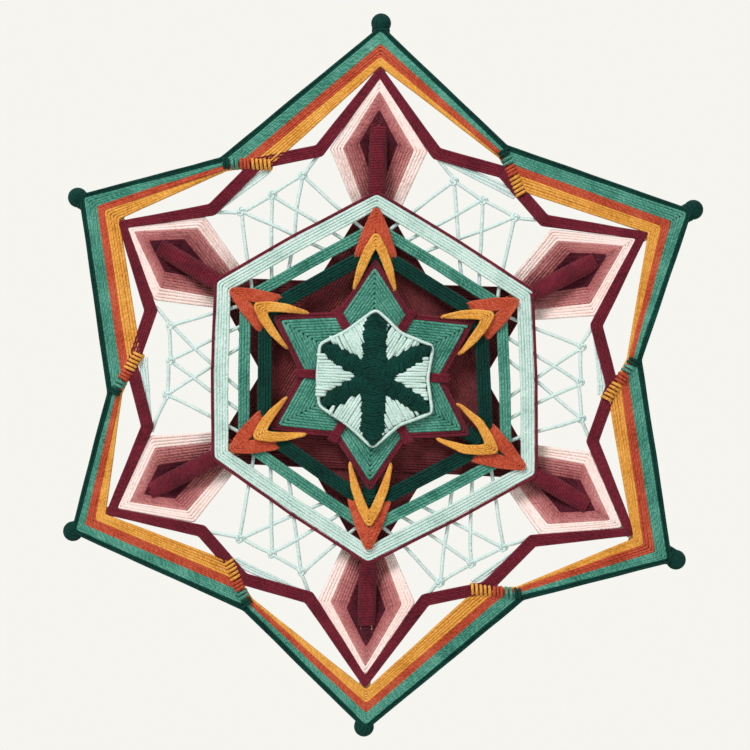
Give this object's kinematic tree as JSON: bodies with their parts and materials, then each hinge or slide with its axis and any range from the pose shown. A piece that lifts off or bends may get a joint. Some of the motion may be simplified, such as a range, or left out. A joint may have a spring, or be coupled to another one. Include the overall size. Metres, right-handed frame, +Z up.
{
  "type": "ojo de dios",
  "caption": "Flat six-armed yarn mandala: crossed sticks wound with wool in stars, hexagons and kites inside a pointed ring, with knotted nets between the arms. Hangs on a wall.",
  "frame": {"origin": "on the flat back of the rear stick, at the middle of the crossing", "axes": "+Z up along the vertical arms, +X to the right seen from the front, the front faces -Y"},
  "size_m": [0.2739, 0.0145, 0.3131],
  "materials": {
    "wood": "bare, dull",
    "dark_green_yarn": "wool, matt",
    "jade_yarn": "wool, matt",
    "mint_yarn": "cotton, soft sheen",
    "orange_yarn": "wool, matt",
    "amber_yarn": "wool, matt",
    "crimson_yarn": "wool, matt",
    "burgundy_yarn": "wool, matt",
    "rose_yarn": "wool, matt",
    "blush_yarn": "wool, matt"
  },
  "bodies": {
    "root": {"stick_rear": "wood", "stick_middle": "wood", "stick_front": "wood", "knob_upper_right": "dark_green_yarn", "knob_top": "dark_green_yarn", "knob_upper_left": "dark_green_yarn", "knob_lower_left": "dark_green_yarn", "knob_bottom": "dark_green_yarn", "knob_lower_right": "dark_green_yarn", "centre_lashing": "dark_green_yarn", "ring_dark_green": "dark_green_yarn", "ring_jade": "jade_yarn", "ring_orange": "orange_yarn", "ring_amber": "amber_yarn", "zigzag_crimson": "crimson_yarn", "kite_blush_upper_right": "blush_yarn", "kite_rose_upper_right": "rose_yarn", "kite_heart_upper_right": "crimson_yarn", "sleeve_upper_right": "crimson_yarn", "kite_blush_top": "blush_yarn", "kite_rose_top": "rose_yarn", "kite_heart_top": "crimson_yarn", "sleeve_top": "crimson_yarn", "kite_blush_upper_left": "blush_yarn", "kite_rose_upper_left": "rose_yarn", "kite_heart_upper_left": "crimson_yarn", "sleeve_upper_left": "crimson_yarn", "kite_blush_lower_left": "blush_yarn", "kite_rose_lower_left": "rose_yarn", "kite_heart_lower_left": "crimson_yarn", "sleeve_lower_left": "crimson_yarn", "kite_blush_bottom": "blush_yarn", "kite_rose_bottom": "rose_yarn", "kite_heart_bottom": "crimson_yarn", "sleeve_bottom": "crimson_yarn", "kite_blush_lower_right": "blush_yarn", "kite_rose_lower_right": "rose_yarn", "kite_heart_lower_right": "crimson_yarn", "sleeve_lower_right": "crimson_yarn", "hexagon_crimson_line": "crimson_yarn", "hexagon_mint": "mint_yarn", "hexagon_jade": "jade_yarn", "hexagon_dark_green": "dark_green_yarn", "star_orange": "orange_yarn", "star_amber": "amber_yarn", "star_crimson": "crimson_yarn", "star_jade": "jade_yarn", "under_star_first": "burgundy_yarn", "under_star_second": "burgundy_yarn", "medallion_base": "dark_green_yarn", "medallion_stitching": "mint_yarn", "net_upper_right_to_top": "mint_yarn", "net_top_to_upper_left": "mint_yarn", "net_upper_left_to_lower_left": "mint_yarn", "net_lower_left_to_bottom": "mint_yarn", "net_bottom_to_lower_right": "mint_yarn", "net_lower_right_to_upper_right": "mint_yarn"}
  },
  "joints": []
}
